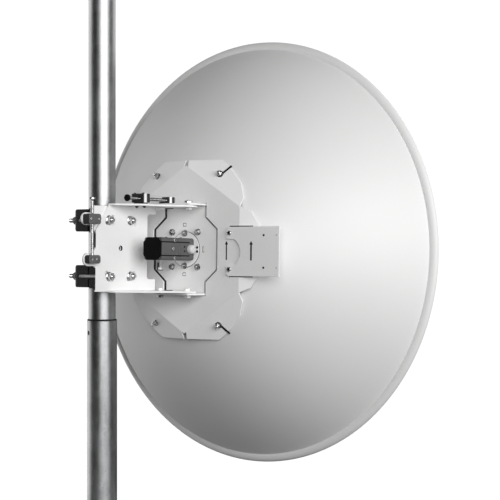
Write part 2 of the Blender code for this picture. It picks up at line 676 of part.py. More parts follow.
def make_waveguide_unit(frame):
    """The square waveguide unit behind the dish, with its end cap and side cap."""
    front = YOKE_FLOOR[0] - SEAT_GAP - FEED_FLANGE_THICKNESS - SEAT_GAP
    half, chamfer = OMT_HALF, 0.0045
    quarter = [(half, half - chamfer), (half - chamfer, half)]
    right = [(x, -z) for x, z in reversed(quarter)] + quarter
    outline = [(HUB_X + x, z) for x, z in right + [(-x, z) for x, z in reversed(right)]]
    add_piece("omt_body", prism(outline, OMT_BACK, front, "Y"), "cast_grey", frame)
    cap = prism(notched_square(0.0205, half, 0.0045, 0.0065), OMT_CAP_BACK, OMT_BACK - SEAT_GAP, "Y")
    add_piece("omt_cap", cap, "black_plastic", frame)
    side = HUB_X + half + SEAT_GAP
    rings = [(side, 0.0075), (side + 0.008, 0.0075), (side + 0.0092, 0.006)]
    add_piece("omt_side_cap", stack(rings, (OMT_SIDE_CAP_Y, 0), "X", 20), "white_plastic", frame)


def main():
    clear_scene()
    axis = Matrix.Translation((0, 0, AXIS_HEIGHT))
    droop = axis @ Matrix.Rotation(-ARM_DROOP, 4, "X")
    mast_frame = frame_empty("mast_frame", axis)
    arm_frame = frame_empty("arm_frame", droop)
    screw_foot = droop @ Vector((SCREW_X, SCREW_Y, SCREW_FOOT_Z))
    screw_frame = frame_empty("screw_frame", Matrix.Translation(screw_foot))
    azimuth_frame = frame_empty("azimuth_frame", droop)

    make_mast(mast_frame)
    make_clamps(mast_frame)
    make_pole_plate(mast_frame)
    make_pivot_pin(mast_frame)
    make_upper_block(mast_frame, screw_foot.y)
    make_elevation_screw(screw_frame)
    make_arm(arm_frame)
    make_azimuth_pivots(arm_frame)
    make_screw_block(arm_frame)
    make_azimuth_screw(azimuth_frame)
    make_yoke(azimuth_frame)
    make_lock_bolts(azimuth_frame)
    make_hub_plate(azimuth_frame)
    make_reflector(azimuth_frame)
    make_radio_plate(azimuth_frame)
    make_feed(azimuth_frame)
    make_waveguide_unit(azimuth_frame)


main()
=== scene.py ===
"""Parabolic dish antenna on a mast, dressed for its studio picture.

Pieces are drawn in millimetres from the elevation axis: x from the mast to the arm, y along
the dish's line of sight, z up. Each is put in its place in the object's frame when it is finished.
"""
import math

import bmesh
import bpy
from mathutils import Matrix, Vector


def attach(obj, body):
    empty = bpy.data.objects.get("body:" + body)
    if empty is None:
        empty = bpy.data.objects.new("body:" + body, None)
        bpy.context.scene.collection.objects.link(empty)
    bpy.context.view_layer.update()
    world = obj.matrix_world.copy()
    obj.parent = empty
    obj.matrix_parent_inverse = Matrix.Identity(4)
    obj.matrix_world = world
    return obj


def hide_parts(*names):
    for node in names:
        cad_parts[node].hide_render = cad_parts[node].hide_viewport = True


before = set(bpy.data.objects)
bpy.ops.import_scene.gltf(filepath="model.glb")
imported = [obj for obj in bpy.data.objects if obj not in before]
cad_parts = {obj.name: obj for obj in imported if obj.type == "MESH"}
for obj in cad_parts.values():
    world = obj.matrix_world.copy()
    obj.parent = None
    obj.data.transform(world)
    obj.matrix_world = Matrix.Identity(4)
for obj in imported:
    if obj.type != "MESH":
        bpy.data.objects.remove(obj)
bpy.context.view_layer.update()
bpy.ops.object.select_all(action="DESELECT")

# Where pieces are drawn: on the still mast, on the drooping arm and head, and on the elevation
# screw, which stands upright on the arm's ear.
AXIS_HEIGHT = 0.6
DROOP_DEGREES = 1.05
MILLIMETRES = Matrix.Scale(0.001, 4)
AXIS = Matrix.Translation((0, 0, AXIS_HEIGHT))
MAST = AXIS @ MILLIMETRES
HEAD = AXIS @ Matrix.Rotation(math.radians(-DROOP_DEGREES), 4, "X") @ MILLIMETRES
SCREW = Matrix.Translation(HEAD @ Vector((53, -83.7, -21.6))) @ MILLIMETRES

# The mast, its clamps and the arm's web.
TUBE_RADIUS, SOCKET_RADIUS = 25.4, 28.1
TUBE_TOP, SOCKET_TOP, FOOT = 540, -135, -600
GRUB_Z = -158
JAW_HEIGHT, JAW_HALF_SHOWN = 52, 22
OUTER_JAW_BACK, INNER_JAW_BACK = 38, 38.7
OUTER_JAW_TRIM, OUTER_JAW_SHIFT = 0.92, 3.4
CLAMP_BOLT_Y = 30.5
WEB_FACE = 47.3

# The azimuth pivot, its lock bolts and its fine screw.
FLANGE_INSIDE, YOKE_OUTSIDE = 78.2, 86.6
PIVOT_X, PIVOT_Y = 130.3, 95
LOCK_X = 64
ROD_X, ROD_Z = 82.7, 92

# The hub: its middle, and the levels of its plate, of the yoke's floor and of the feed's disc.
# The floor's slots are each given as x, half width, z and half height from the middle.
HUB_X = 102.5
HUB_BACK = 119
FLOOR_BACK, FLOOR_FRONT = 127.5, 122.5
DISC_FRONT = 120.8
FLOOR_SLOTS = ((-3.5, 4, 47, 3.2), (-3.5, 4, -47, 3.2), (42.1, 1.7, 0, 5.6))
RADIO_HOLES_Z = (26, -33.4)

# The waveguide unit's half width, and how far its grooves lie from its middle.
UNIT_HALF, GROOVE_Z = 21, 12.6

# The camera's turn about the vertical, in degrees, and the heading from the object to it.
CAMERA_TURN = 37
CAMERA_SIDE = CAMERA_TURN - 90


class Value:
    """A number in a shader, which can be added and multiplied like any other."""

    def __init__(self, finish, socket):
        self.finish = finish
        self.socket = socket

    def maths(self, operation, *numbers):
        return self.finish.node("ShaderNodeMath", {"operation": operation}, dict(enumerate(numbers)))

    def __add__(self, other):
        return self.maths("ADD", self, other)

    def __rsub__(self, other):
        return self.maths("SUBTRACT", other, self)

    def __mul__(self, other):
        return self.maths("MULTIPLY", self, other)

    __radd__ = __add__
    __rmul__ = __mul__

    def between(self, low, high, start=0.0, end=1.0):
        """Carry the range low to high smoothly onto start to end, and hold it there."""
        places = {"Value": self, "From Min": low, "From Max": high, "To Min": start, "To Max": end}
        return self.finish.node("ShaderNodeMapRange", {"interpolation_type": "SMOOTHSTEP"}, places)


class Finish:
    """A procedural surface finish, worked out from a piece's own coordinates in metres."""

    def __init__(self, name):
        self.material = bpy.data.materials.new(name)
        self.material.use_nodes = True
        self.tree = self.material.node_tree
        self.shader = self.tree.nodes["Principled BSDF"]

    def node(self, kind, settings=None, inputs=None, output=0):
        """Add a node: its settings first, then the values or links of its sockets."""
        made = self.tree.nodes.new(kind)
        for name, setting in (settings or {}).items():
            setattr(made, name, setting)
        for name, given in (inputs or {}).items():
            if isinstance(given, Value):
                self.tree.links.new(given.socket, made.inputs[name])
            else:
                made.inputs[name].default_value = given
        return Value(self, made.outputs[output])

    def place(self):
        return self.node("ShaderNodeTexCoord", output="Object")

    def stretched(self, x, y, z):
        """The piece's coordinates, drawn out along an axis where the number is small."""
        return self.node("ShaderNodeMapping", inputs={"Vector": self.place(), "Scale": (x, y, z)})

    def noise(self, scale, detail, where=None):
        inputs = {"Vector": where or self.place(), "Scale": scale, "Detail": detail}
        return self.node("ShaderNodeTexNoise", inputs=inputs)

    def cells(self, scale, where):
        """Crystals of one shade each."""
        inputs = {"Vector": where, "Scale": scale}
        colour = self.node("ShaderNodeTexVoronoi", inputs=inputs, output="Color")
        return self.node("ShaderNodeSeparateColor", inputs={"Color": colour})

    def grey(self, shade, warmth=0.0):
        """A colour from one value, a little warmer or cooler."""
        parts = {0: shade * (1 + warmth), 1: shade, 2: shade * (1 - warmth)}
        return self.node("ShaderNodeCombineColor", inputs=parts)

    def bump(self, height, depth, strength):
        inputs = {"Height": height, "Distance": depth, "Strength": strength}
        return self.node("ShaderNodeBump", inputs=inputs, output="Normal")

    def give(self, **sockets):
        """Set the shader's sockets, by names with an underscore for each space."""
        for name, given in sockets.items():
            socket = self.shader.inputs[name.replace("_", " ").title().replace("Ior", "IOR")]
            if isinstance(given, Value):
                self.tree.links.new(given.socket, socket)
            else:
                socket.default_value = given
        return self.material


def galvanised_tube(name, dark, light, rough):
    """Hot-dip zinc on a tube: spangle, runs down the tube, dull patches and small pits."""
    finish = Finish(name)
    spangle = finish.cells(170, finish.stretched(1, 1, 0.55))
    runs = finish.noise(60, 4.0, finish.stretched(1, 1, 0.09))
    patches = finish.noise(14, 5.0)
    specks = finish.noise(420, 2.0)
    shade = spangle * 0.2 + runs.between(0.3, 0.7) * 0.4 + patches.between(0.35, 0.7) * 0.4
    pits = specks.between(0.62, 0.7)
    shade = shade.between(0, 1, dark, light) * (1 - 0.3 * pits)
    dull = runs.between(0.35, 0.7) * 0.5 + patches.between(0.3, 0.7) * 0.5
    relief = spangle * 0.3 + runs * 0.5 + pits * -0.6
    return finish.give(base_color=finish.grey(shade, -0.012), metallic=1.0,
                       roughness=rough + 0.08 * dull + 0.04 * spangle,
                       normal=finish.bump(relief, 0.00012, 0.5))


def powder_coat(name, shade, rough):
    """White powder paint: orange peel, faint unevenness and a little settled dust."""
    finish = Finish(name)
    cloud = finish.noise(9, 3.0)
    dust = finish.noise(240, 3.0).between(0.55, 0.75)
    grain = finish.noise(1100, 2.0)
    tone = shade * (1 - 0.035 * cloud.between(0.35, 0.7)) * (1 - 0.035 * dust)
    return finish.give(base_color=finish.grey(tone, 0.004),
                       roughness=rough + 0.08 * cloud + 0.06 * dust,
                       normal=finish.bump(grain, 0.00006, 0.5))


def dish_coat():
    """The dish's satin paint over a spun shell, with faint turning rings in the metal."""
    finish = Finish("dish_coat")
    parts = {"Vector": finish.place(), "Location": (-HUB_X / 1000, 0.0, -AXIS_HEIGHT)}
    centred = finish.node("ShaderNodeMapping", inputs=parts)
    across = finish.node("ShaderNodeVectorMath", {"operation": "MULTIPLY"}, {0: centred, 1: (1, 0, 1)})
    reach = finish.node("ShaderNodeVectorMath", {"operation": "LENGTH"}, {0: across}, output="Value")
    rings = finish.node("ShaderNodeMath", {"operation": "SINE"}, {0: reach * 420})
    cloud = finish.noise(4, 3.0)
    grain = finish.noise(900, 2.0)
    tone = 0.765 * (1 - 0.02 * cloud.between(0.35, 0.7)) * (1 - 0.012 * finish.noise(130, 4.0))
    relief = grain * 0.7 + rings * 0.12 + cloud * 0.2
    return finish.give(base_color=finish.grey(tone, 0.004), roughness=0.50 + 0.05 * cloud,
                       metallic=0.03, normal=finish.bump(relief, 0.00005, 0.4))


def sand_cast(name, dark, light, rough, metal, grain=520):
    """A cast surface: coarse grain with lighter worn tops."""
    finish = Finish(name)
    coarse = finish.noise(grain, 4.0)
    patch = finish.noise(60, 3.0)
    worn = coarse.between(0.56, 0.74)
    shade = dark + (light - dark) * (0.75 * worn + 0.25 * patch.between(0.4, 0.7))
    return finish.give(base_color=finish.grey(shade), metallic=metal, roughness=rough + 0.12 * patch,
                       normal=finish.bump(coarse, 0.00025, 0.6))


def anodised(name, dark, light, rough, metal):
    """Dark anodised aluminium with fine saw and mill marks."""
    finish = Finish(name)
    marks = finish.noise(900, 2.0, finish.stretched(1, 0.08, 1))
    patch = finish.noise(70, 3.0)
    shade = dark + (light - dark) * (0.55 * marks + 0.45 * patch.between(0.3, 0.7))
    return finish.give(base_color=finish.grey(shade), metallic=metal, roughness=rough + 0.1 * marks,
                       normal=finish.bump(marks, 0.00008, 0.5))


def plated(name, dark, light, rough, metal=1.0):
    """Bright or black plating on screws, with turned marks and handling stains."""
    finish = Finish(name)
    stain = finish.noise(330, 3.0)
    marks = finish.noise(1500, 2.0)
    shade = dark + (light - dark) * stain.between(0.3, 0.65)
    return finish.give(base_color=finish.grey(shade), metallic=metal,
                       roughness=rough + 0.12 * stain + 0.05 * marks,
                       normal=finish.bump(marks, 0.00004, 0.5))


def moulded(name, shade, rough, gloss):
    """Moulded plastic with a fine spark-eroded texture."""
    finish = Finish(name)
    grain = finish.noise(1400, 2.0)
    patch = finish.noise(90, 3.0)
    tone = shade * (0.9 + 0.2 * patch)
    return finish.give(base_color=finish.grey(tone), roughness=rough + 0.08 * patch,
                       specular_ior_level=gloss, normal=finish.bump(grain, 0.00005, 0.6))


tube_zinc = galvanised_tube("tube_zinc", 0.32, 0.47, 0.36)
socket_zinc = galvanised_tube("socket_zinc", 0.30, 0.45, 0.35)
# joint_shadow and gap_shadow are dark finishes laid as painted shade in gaps, holes, grooves and
# sockets.
joint_shadow = moulded("joint_shadow", 0.012, 0.8, 0.1)
gap_shadow = moulded("gap_shadow", 0.08, 0.8, 0.1)
plate_white = powder_coat("plate_white", 0.87, 0.42)
yoke_white = powder_coat("yoke_white", 0.86, 0.45)
disc_white = powder_coat("disc_white", 0.92, 0.40)
dish_white = dish_coat()
jaw_black = sand_cast("jaw_black", 0.009, 0.022, 0.50, 0.0)
# A lighter copy of the jaws' cast finish, laid on as a painted highlight.
jaw_edge_highlight = sand_cast("jaw_edge_highlight", 0.10, 0.18, 0.50, 0.0, 420)
block_grey = anodised("block_grey", 0.10, 0.16, 0.45, 0.3)
# Dark anodising: the azimuth blocks' own colour, and painted shade on the elevation blocks' sides.
dark_block_and_shade = anodised("dark_block_and_shade", 0.016, 0.04, 0.45, 0.2)
screw_zinc = plated("screw_zinc", 0.38, 0.66, 0.20)
nut_bright = plated("nut_bright", 0.80, 0.92, 0.42, 0.5)
screw_black = plated("screw_black", 0.012, 0.035, 0.35, 0.6)
nut_dull = plated("nut_dull", 0.22, 0.46, 0.18)
stainless = plated("stainless", 0.55, 0.75, 0.20)
rod_steel = plated("rod_steel", 0.16, 0.30, 0.16)
cast_grey = sand_cast("cast_grey", 0.105, 0.16, 0.48, 0.2, 700)
cap_black = moulded("cap_black", 0.003, 0.55, 0.08)
cap_white = moulded("cap_white", 0.62, 0.35, 0.5)
arrow_ink = moulded("arrow_ink", 0.010, 0.6, 0.3)


def only(piece):
    """Make a piece the one that is selected."""
    bpy.ops.object.select_all(action="DESELECT")
    piece.select_set(True)
    bpy.context.view_layer.objects.active = piece
    return piece


def named(name):
    """Name the primitive just added."""
    piece = bpy.context.object
    piece.name = name
    piece.data.name = name
    return piece


def edit(piece):
    only(piece)
    bpy.ops.object.mode_set(mode="EDIT")
    bpy.ops.mesh.select_mode(type="VERT")
    bpy.ops.mesh.select_all(action="SELECT")


def leave():
    bpy.ops.object.mode_set(mode="OBJECT")


def pick(test, kind="FACE"):
    """In edit mode, select faces by a test of middle and normal, or edges by middle and run."""
    bpy.ops.mesh.select_mode(type=kind)
    bpy.ops.mesh.select_all(action="DESELECT")
    form = bmesh.from_edit_mesh(bpy.context.object.data)
    if kind == "FACE":
        for face in form.faces:
            face.select_set(bool(test(face.calc_center_median(), face.normal)))
    else:
        for edge in form.edges:
            ends = [vertex.co for vertex in edge.verts]
            if test((ends[0] + ends[1]) / 2, ends[1] - ends[0]):
                edge.select_set(True)
    bmesh.update_edit_mesh(bpy.context.object.data)


def pull(x, y, z):
    """In edit mode, draw what is selected out."""
    bpy.ops.mesh.extrude_region_move(TRANSFORM_OT_translate={"value": (x, y, z)})


def circle(name, sides, height, radius, fill="NOTHING"):
    """A circle round z, ready in edit mode."""
    bpy.ops.mesh.primitive_circle_add(vertices=sides, radius=radius, fill_type=fill,
                                      location=(0, 0, height))
    piece = named(name)
    bpy.ops.object.transform_apply()
    edit(piece)
    return piece


def close():
    """Turn all faces outward and leave edit mode."""
    bpy.ops.mesh.select_all(action="SELECT")
    bpy.ops.mesh.normals_make_consistent(inside=False)
    leave()


def grow(rings):
    """In edit mode, push the selected face or loop up through (height, radius) steps."""
    height, radius = rings[0]
    for next_height, next_radius in rings[1:]:
        pull(0, 0, next_height - height)
        ratio = next_radius / radius
        bpy.ops.transform.resize(value=(ratio, ratio, 1), center_override=(0, 0, next_height))
        height, radius = next_height, next_radius


def turned(name, rings, sides=24):
    """A solid turned about z, from (height, radius) steps."""
    piece = circle(name, sides, *rings[0], fill="NGON")
    grow(rings)
    close()
    return piece


def turned_ring(name, rings, sides):
    """A hollow part turned about z, whose steps run round its whole section."""
    piece = circle(name, sides, *rings[0])
    grow(rings)
    bpy.ops.mesh.select_all(action="DESELECT")
    bpy.ops.mesh.select_non_manifold()
    bpy.ops.mesh.bridge_edge_loops()
    close()
    return piece


def thread(name, start, length, radius, pitch, depth=0.5):
    """A screw thread about z: one ridge, repeated up the shank, with its ends closed."""
    root = radius - depth
    piece = circle(name, 16, start, root)
    grow([(start, root), (start + pitch * 0.4, radius), (start + pitch * 0.6, radius),
          (start + pitch, root)])
    leave()
    rows = piece.modifiers.new("rows", "ARRAY")
    rows.use_relative_offset = False
    rows.use_constant_offset = True
    rows.constant_offset_displace = (0, 0, pitch)
    rows.count = round(length / pitch)
    rows.use_merge_vertices = True
    rows.merge_threshold = 0.01
    bpy.ops.object.modifier_apply(modifier="rows")
    edit(piece)
    bpy.ops.mesh.select_all(action="DESELECT")
    bpy.ops.mesh.select_non_manifold()
    bpy.ops.mesh.fill_holes(sides=0)
    close()
    return piece


def block(name, low, high, bevel=0.0, segments=3, edges=None):
    """A block between two corners, with all its edges rounded, or only those that a test picks."""
    low, high = Vector(low), Vector(high)
    bpy.ops.mesh.primitive_cube_add(size=1, location=(low + high) / 2, scale=high - low)
    piece = named(name)
    bpy.ops.object.transform_apply()
    if bevel:
        edit(piece)
        if edges:
            pick(edges, "EDGE")
        bpy.ops.mesh.bevel(offset=bevel, segments=segments, affect="EDGES")
        leave()
    return piece


def join(name, *parts):
    """Several parts as one piece."""
    only(parts[0])
    for part in parts:
        part.select_set(True)
    bpy.ops.object.join()
    bpy.ops.object.transform_apply()
    return named(name)


def cut(piece, *tools):
    """Cut a piece by closed tools, which are used up."""
    for tool in tools:
        only(piece)
        step = piece.modifiers.new("cut", "BOOLEAN")
        step.operation = "DIFFERENCE"
        step.solver = "EXACT"
        step.object = tool
        bpy.ops.object.modifier_apply(modifier="cut")
        bpy.data.objects.remove(tool)
    return piece


def soften(piece, width, segments=2, angle=30):
    """Round the piece's sharp edges."""
    only(piece)
    edge = piece.modifiers.new("edge", "BEVEL")
    edge.width = width
    edge.segments = segments
    edge.limit_method = "ANGLE"
    edge.angle_limit = math.radians(angle)
    edge.use_clamp_overlap = False
    bpy.ops.object.modifier_apply(modifier="edge")
    return piece


def smooth(piece, angle):
    """Smooth shading with crisp corners and level flats."""
    only(piece)
    bpy.ops.object.shade_smooth_by_angle(angle=math.radians(angle))
    flats = piece.modifiers.new("flats", "WEIGHTED_NORMAL")
    flats.keep_sharp = True
    bpy.ops.object.modifier_apply(modifier="flats")


def copy_of(node, name):
    """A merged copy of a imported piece, in its place, ready to be shaped further."""
    piece = bpy.data.objects.new(name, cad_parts[node].data.copy())
    bpy.context.scene.collection.objects.link(piece)
    edit(piece)
    bpy.ops.mesh.customdata_custom_splitnormals_clear()
    bpy.ops.mesh.remove_doubles(threshold=0.00001)
    bpy.ops.mesh.dissolve_limited(angle_limit=math.radians(1))
    close()
    return named(name)


def stand(piece, place, way=(0, 0, 1), spin=0):
    """Stand a part that was made on z at a place, with its z along the given way."""
    turn = Vector(way).to_track_quat("Z", "Y").to_matrix().to_4x4()
    piece.matrix_world = Matrix.Translation(place) @ turn @ Matrix.Rotation(math.radians(spin), 4, "Z")
    only(piece)
    bpy.ops.object.transform_apply()
    return piece


def repeated(name, part, places, way=(0, 0, 1), spins=(0,)):
    """Copies of a part, each with its own mesh, standing at the places as one piece."""
    copies = []
    for index, place in enumerate(places):
        copy = bpy.data.objects.new(name, part.data.copy())
        bpy.context.scene.collection.objects.link(copy)
        copies.append(stand(copy, place, way, spins[index % len(spins)]))
    bpy.data.objects.remove(part)
    return join(name, *copies)


def settle(piece, place, body, finish, slot, *nodes, angle=32):
    """Finish a piece: shade it, put it in the object's frame, and say what it rides on."""
    smooth(piece, angle)
    piece.matrix_world = place @ piece.matrix_world
    only(piece)
    bpy.ops.object.transform_apply()
    if finish:
        piece.data.materials.clear()
        piece.data.materials.append(finish)
    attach(piece, body)
    if nodes:
        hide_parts(*nodes)
    return piece


def paint(piece, finish, test=None):
    """Give a part its finish, or a second finish to the faces that pass a test."""
    if test is None:
        piece.data.materials.clear()
        piece.data.materials.append(finish)
        return piece
    piece.data.materials.append(finish)
    index = len(piece.data.materials) - 1
    for face in piece.data.polygons:
        if test(face.center, face.normal):
            face.material_index = index
    return piece


def hexagon(name, flats, low, high, chamfer=0.8):
    """A hexagon head or nut with its top corners taken off."""
    corner = flats / 2 / math.cos(math.pi / 6)
    return turned(name, [(low, corner), (high - chamfer * 0.6, corner), (high, corner - chamfer)], 6)


def flange_nut(name, flats, flange, height, tip, radius, pitch=1.25, flange_finish=None):
    """A flange nut on its surface, with the bolt's threaded end through it."""
    skirt = turned("skirt", [(0, flange), (0.9, flange), (1.6, flange - 0.7), (2.6, flats / 2)], 32)
    nut = hexagon("nut", flats, 1.0, height)
    stud = thread("stud", height - 1, tip + 1, radius, pitch)
    end = turned("end", [(height + tip - 0.3, radius - 0.5), (height + tip + 0.5, radius - 1.1)], 16)
    for part in (skirt, nut, stud, end):
        paint(part, screw_zinc)
    if flange_finish:
        paint(skirt, flange_finish)
    return join(name, skirt, nut, stud, end)


def plain_nut(name, flats, washer, height, tip, radius, pitch):
    """A washer, a nut and the bolt's threaded end."""
    ring = turned("ring", [(0, washer - 0.3), (0.3, washer), (1.0, washer), (1.2, washer - 0.3)], 28)
    nut = hexagon("nut", flats, 1.2, height)
    stud = thread("stud", height - 1, tip + 1, radius, pitch)
    return join(name, ring, nut, stud)


def socket_screw(name, radius, height, key, finish):
    """A cap screw whose head has a hexagon socket, with painted shade inside."""
    head = turned("head", [(0, radius), (height - 0.5, radius), (height, radius - 0.5)], 28)
    socket = turned("key", [(height * 0.45, key), (height + 1, key)], 6)
    head = paint(cut(head, socket), finish)

    def inside(at, normal):
        return math.hypot(at.x, at.y) < key and 0.1 < at.z < height - 0.05

    return join(name, paint(head, joint_shadow, inside))


def set_screws(name, place, body, slot, sizes, finish, spots, way=(0, 0, 1)):
    """Cap screws of one size (radius, height, key) at their spots, settled as one piece."""
    screws = repeated(name, socket_screw(name, *sizes, finish), spots, way)
    settle(screws, place, body, None, slot)


def make_mast():
    top, outside, inside = TUBE_TOP, TUBE_RADIUS, TUBE_RADIUS - 3
    tube = turned_ring("mast_tube", [
        (-255, inside), (-255, outside - 0.6), (-254.4, outside), (-60, outside), (120, outside),
        (330, outside), (top - 0.8, outside), (top, outside - 0.7), (top, inside + 0.6),
        (top - 0.6, inside), (120, inside)], 128)
    settle(tube, MAST, "mast", tube_zinc, "galvanised", "mast_upper_tube")

    top, outside, inside = SOCKET_TOP, SOCKET_RADIUS, TUBE_RADIUS + 0.3
    socket = turned_ring("mast_socket", [
        (FOOT + 4, inside), (FOOT, inside + 0.3), (FOOT, outside - 0.6), (FOOT + 0.6, outside),
        (-420, outside), (-260, outside), (top - 3, outside), (top - 2.2, outside - 0.2),
        (top - 1.6, outside + 0.1), (top - 0.5, outside), (top, outside - 0.6), (top, inside + 0.5),
        (top - 1.4, inside), (-400, inside)], 128)
    grub_way = Vector((-0.36, -0.93, 0)).normalized()
    hole = turned("hole", [(0, 4.2), (12, 4.2)], 24)
    cut(socket, stand(hole, grub_way * 22 + Vector((0, 0, GRUB_Z)), grub_way))
    floor = turned("floor", [(FOOT, 26.5), (FOOT + 3.8, 26.5)], 64)
    socket = join("mast_socket", socket, floor)
    settle(socket, MAST, "mast", socket_zinc, "galvanised", "mast_lower_tube")

    grub = turned("socket_screw", [(0, 3.0), (1.2, 3.0), (1.6, 2.6)], 20)
    cut(grub, turned("key", [(0.6, 1.4), (3, 1.4)], 6))
    stand(grub, grub_way * (TUBE_RADIUS + 0.05) + Vector((0, 0, GRUB_Z)), grub_way)
    settle(grub, MAST, "mast", screw_black, "clamp_black")

    # A dark ring at the socket's top, painted shade in the joint's gap.
    low, high = SOCKET_TOP - 0.2, SOCKET_TOP + 2.6
    inside = TUBE_RADIUS + 0.05
    gap_shade = turned_ring("joint_gap_shade", [(low, inside), (low, 27.3), (high - 0.5, 27.3), (high, 26.7),
                                      (high, inside)], 96)
    settle(gap_shade, MAST, "mast", joint_shadow, "clamp_black")


def make_jaw(outer, level):
    """A cast clamp jaw with open grooves for the bolts; the outer ones are rounder and smaller, and
    have a painted highlight along their back edge.
    """
    where = "upper" if level > 0 else "lower"
    name = ("outer" if outer else "inner") + "_jaw_" + where
    piece = copy_of(name, name + "_cast")
    piece.data.transform(MAST.inverted())
    middle = JAW_HEIGHT * level
    edit(piece)
    back = OUTER_JAW_BACK if outer else INNER_JAW_BACK
    rounding = 4.8 if outer else 1.2

    def corner(at, run):
        return (abs(run.z) > 30 or abs(run.y) > 50) and abs(abs(at.x) - back) < 1

    def highlit_edge(at, normal):
        return at.x < 3.4 - back + OUTER_JAW_SHIFT and abs(at.z - middle) < JAW_HALF_SHOWN

    pick(corner, "EDGE")
    bpy.ops.mesh.bevel(offset=rounding, segments=5, affect="EDGES")
    leave()
    soften(piece, 0.7, 2, 35)
    if outer:
        for vertex in piece.data.vertices:
            vertex.co.z = middle + (vertex.co.z - middle) * OUTER_JAW_TRIM
            if vertex.co.x < -32:
                vertex.co.x += OUTER_JAW_SHIFT
    paint(piece, jaw_black)
    if outer:
        # The outer jaw's rounded back edge is given the lighter finish: a painted highlight.
        paint(piece, jaw_edge_highlight, highlit_edge)
    settle(piece, MAST, "mast", None, "clamp_black", name)


def make_clamp_bolt(y, level, name):
    """A long clamp bolt: threaded tail and nut behind the outer jaw, flange nut on the arm."""
    z = JAW_HEIGHT * level
    tail = thread("tail", 38.5, 18, 4, 1.25)
    tip = turned("tip", [(56.3, 3.4), (57.5, 2.7)], 16)
    back_nut = hexagon("back_nut", 13, 38.3, 44.8, 0.9)
    shank = turned("shank", [(-46, 3.8), (39, 3.8)], 16)
    behind = paint(join("behind", tail, tip, back_nut), screw_zinc)
    stand(behind, (0, 0, -OUTER_JAW_SHIFT))
    behind = join("behind", behind, paint(shank, nut_bright))
    stand(behind, (0, y, z), (-1, 0, 0), 8)
    front = flange_nut("front", 13, 8.75, 8, 3.6, 4)
    aside, spin = (4, 12) if y > 0 else (2, 25)
    stand(front, (WEB_FACE, y - aside, z), (1, 0, 0), spin)
    settle(join(name + "_set", behind, front), MAST, "mast", None, "zinc", name)


def make_clamps():
    for level in (1, -1):
        for outer in (True, False):
            make_jaw(outer, level)
        where = "upper" if level > 0 else "lower"
        make_clamp_bolt(-CLAMP_BOLT_Y, level, "clamp_bolt_%s_back" % where)
        make_clamp_bolt(CLAMP_BOLT_Y, level, "clamp_bolt_%s_front" % where)


def make_pole_plate():
    plate = soften(copy_of("pole_plate", "pole_plate_sheet"), 0.0006)
    settle(plate, Matrix.Identity(4), "mast", plate_white, "white_paint", "pole_plate")
    pin = turned("pivot_pin", [(36, 7.4), (36.6, 8), (38.7, 8), (38.7, 4), (41.6, 4), (42.2, 3.4)], 28)
    stand(pin, (0, 0, 0), (1, 0, 0))
    paint(pin, screw_zinc)
    # The pin's end, deep in the arm's eye, is painted dark: painted shade in the hole.
    paint(pin, joint_shadow, lambda at, normal: at.x > 39)
    settle(pin, MAST, "mast", None, "zinc", "elevation_pivot_pin")


def make_elevation_adjuster():
    """The fine elevation screw and its two rounded blocks."""
    for level, body in (("upper", "mast"), ("lower", "elevation_screw")):
        node = "elevation_%s_block" % level
        piece = soften(copy_of(node, level + "_block"), 0.0011, 3, 35)
        paint(piece, block_grey)
        # The block's sides turned towards -y are painted dark: painted shade on the side away from the
        # light.
        paint(piece, dark_block_and_shade, lambda at, normal: normal.y < -0.6)
        settle(piece, Matrix.Identity(4), body, None, "block_grey", node)

    size, way = (1.9, 1.2, 1.0), (1, 0, 0)
    spots = [(58.9, y, 53.2) for y in (-92.5, -71.5)]
    set_screws("upper_block_screws", MAST, "mast", "zinc", size, stainless, spots, way)
    spots = [(5.9, y, 0) for y in (-5.2, 6.8)]
    set_screws("lower_block_screws", SCREW, "elevation_screw", "zinc", size, stainless, spots, way)

    core = turned("core", [(-4.5, 2.5), (-4, 3), (9, 3), (9.5, 2.6)], 20)
    screw = thread("screw", 9, 97, 3, 1.0)
    head = turned("head", [(108.6, 5.6), (109.2, 6.2), (111.4, 6.2), (112.2, 5.6)], 28)
    head = cut(head, block("slot", (-7, -0.6, 111), (7, 0.6, 114)))
    rod = join("elevation_screw", core, screw, head)
    settle(rod, SCREW, "elevation_screw", stainless, "zinc", "elevation_screw_rod")


def make_arm():
    """The folded arm: notch and eye opened, back edge thinned from behind, folds rounded."""
    arm = copy_of("arm_channel", "arm_sheet")
    arm.data.transform(HEAD.inverted())
    eye_radius = 4.9
    notch = block("notch", (40, 75, -57), (50, 105, 66), 6, 4,
                  lambda at, run: abs(run.x) > 5 and at.y < 76)
    eye = stand(turned("eye", [(0, eye_radius), (10, eye_radius)], 32), (40, 0, 0), (1, 0, 0))
    rebates = [block("rebate", (41, -70, low), (45.6, -63.5, high))
               for low, high in ((0.5, 31), (-77.5, -36))]
    cut(arm, notch, eye, *rebates)
    edit(arm)
    pick(lambda at, run: abs(run.y) > 40 and abs(abs(at.z) - 82) < 0.6 and at.x < 44, "EDGE")
    bpy.ops.mesh.bevel(offset=2.2, segments=3, affect="EDGES")
    leave()
    paint(soften(arm, 0.6), plate_white)
    # The eye's wall is painted dark: painted shade in the hole.
    paint(arm, joint_shadow,
          lambda at, normal: math.hypot(at.y, at.z) < eye_radius + 0.1 and 43.2 < at.x < WEB_FACE - 0.1)
    settle(arm, HEAD, "elevation_arm", None, "white_paint", "arm_channel")


